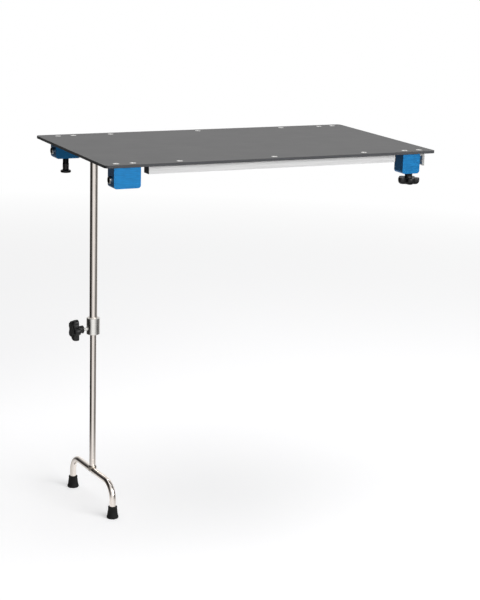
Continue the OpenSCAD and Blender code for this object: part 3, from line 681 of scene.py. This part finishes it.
def paleFloor():
    # white paper sweep: near the table the camera sees its soft shadow, and further off it fades into white
    material, tree, shader, place = newMaterial("paleFloor", Roughness=0.9, Specular_IOR_Level=0.0,
                                                Base_Color=linear(roomLook["paper"]))
    path = addNode(tree, "ShaderNodeLightPath")
    legFoot = (footOf("foot_weld").x, 0, floorZ)
    fromLeg = addNode(tree, "ShaderNodeVectorMath", {0: place, 1: legFoot}, operation="SUBTRACT")
    away = addNode(tree, "ShaderNodeVectorMath", {0: fromLeg.outputs[0]}, operation="LENGTH").outputs["Value"]
    share = addNode(tree, "ShaderNodeMapRange", {"Value": away, "From Max": roomLook["farPaper"]})
    mirroredColour = studioColour(tree, fromLeg.outputs[0], share.outputs["Result"])
    mirrored = addNode(tree, "ShaderNodeEmission", {"Color": mirroredColour})
    bounce = addNode(tree, "ShaderNodeBsdfDiffuse", {"Color": linear(roomLook["bounce"])})
    lift = addNode(tree, "ShaderNodeEmission", {"Color": linear(roomLook["white"]),
                                                "Strength": roomLook["lift"]})
    lifted = addNode(tree, "ShaderNodeAddShader", {0: shader.outputs[0], 1: lift.outputs[0]})
    sweepStart, sweepEnd = roomLook["sweep"]
    fade = addNode(tree, "ShaderNodeMapRange", {"Value": away, "From Min": sweepStart, "From Max": sweepEnd})
    white = addNode(tree, "ShaderNodeEmission", {"Color": linear(roomLook["white"])})
    seen = addNode(tree, "ShaderNodeMixShader", {0: fade.outputs["Result"], 1: lifted.outputs[0],
                                                 2: white.outputs[0]})
    direct = addNode(tree, "ShaderNodeMixShader", {0: path.outputs["Is Camera Ray"], 1: bounce.outputs[0],
                                                   2: seen.outputs[0]})
    both = addNode(tree, "ShaderNodeMixShader", {0: path.outputs["Is Glossy Ray"], 1: direct.outputs[0],
                                                 2: mirrored.outputs[0]})
    tree.links.new(both.outputs[0], tree.nodes["Material Output"].inputs["Surface"])
    return material


deselectAll()
bpy.ops.mesh.primitive_plane_add(size=roomLook["floorSize"], location=(0, 0, floorZ))
floor = bpy.context.object
settle(floor, "floor")
floor.data.materials.append(paleFloor())

world = bpy.data.worlds.new("studio")
bpy.context.scene.world = world
world.use_nodes = True
tree = world.node_tree
tree.nodes.clear()
path = addNode(tree, "ShaderNodeLightPath")
way = addNode(tree, "ShaderNodeTexCoord").outputs["Generated"]
seen = addNode(tree, "ShaderNodeMath", {0: path.outputs["Is Camera Ray"],
                                        1: path.outputs["Is Transmission Ray"]}, operation="MAXIMUM")
darkSide, lightSide = roomLook["ambientSide"]
dimmest, brightest = roomLook["ambientLevel"]
level = addNode(tree, "ShaderNodeMapRange", {"Value": sideways(tree, way), "From Min": darkSide,
                                             "From Max": lightSide, "To Min": dimmest, "To Max": brightest})
ambient = addNode(tree, "ShaderNodeBackground", {"Color": linear(roomLook["ambient"]),
                                                 "Strength": level.outputs["Result"]})
white = addNode(tree, "ShaderNodeBackground", {"Color": linear(roomLook["white"]), "Strength": 1.0})
mirrored = addNode(tree, "ShaderNodeBackground", {"Color": studioColour(tree, way), "Strength": 1.0})
direct = addNode(tree, "ShaderNodeMixShader", {0: seen.outputs["Value"], 1: ambient.outputs[0],
                                               2: white.outputs[0]})
both = addNode(tree, "ShaderNodeMixShader", {0: path.outputs["Is Glossy Ray"], 1: direct.outputs[0],
                                             2: mirrored.outputs[0]})
addNode(tree, "ShaderNodeOutputWorld", {"Surface": both.outputs[0]})

for name, place, size, power in softboxes:
    lamp = bpy.data.lights.new(name, "AREA")
    lamp.shape = "RECTANGLE"
    lamp.size, lamp.size_y = size
    lamp.energy = power
    holder = bpy.data.objects.new(name, lamp)
    bpy.context.scene.collection.objects.link(holder)
    holder.location = place
    holder.rotation_euler = (lampAim - Vector(place)).to_track_quat("-Z", "Y").to_euler()


# Camera: the photograph's own view, worked out from the table's edges, screws and feet

yaw, pitch, roll = (math.radians(viewFit[k]) for k in ("yaw", "pitch", "roll"))
forward = Vector((math.sin(yaw) * math.cos(pitch), math.cos(yaw) * math.cos(pitch), -math.sin(pitch)))
levelRight = Vector((math.cos(yaw), -math.sin(yaw), 0))
levelUp = levelRight.cross(forward)
right = levelRight * math.cos(roll) + levelUp * math.sin(roll)
up = levelUp * math.cos(roll) - levelRight * math.sin(roll)
cameraData = bpy.data.cameras.new("camera")
cameraData.sensor_width = viewFit["sensor"]
cameraData.lens = viewFit["focalPixels"] / viewFit["longSidePixels"] * viewFit["sensor"]
cameraData.clip_end = viewFit["reach"]
camera = bpy.data.objects.new("camera", cameraData)
bpy.context.scene.collection.objects.link(camera)
facing = Matrix((right, up, -forward)).transposed().to_4x4()
camera.matrix_world = Matrix.Translation(viewFit["place"]) @ facing
bpy.context.scene.camera = camera
bpy.context.scene.view_settings.view_transform = "Standard"
print("room, light and camera made")
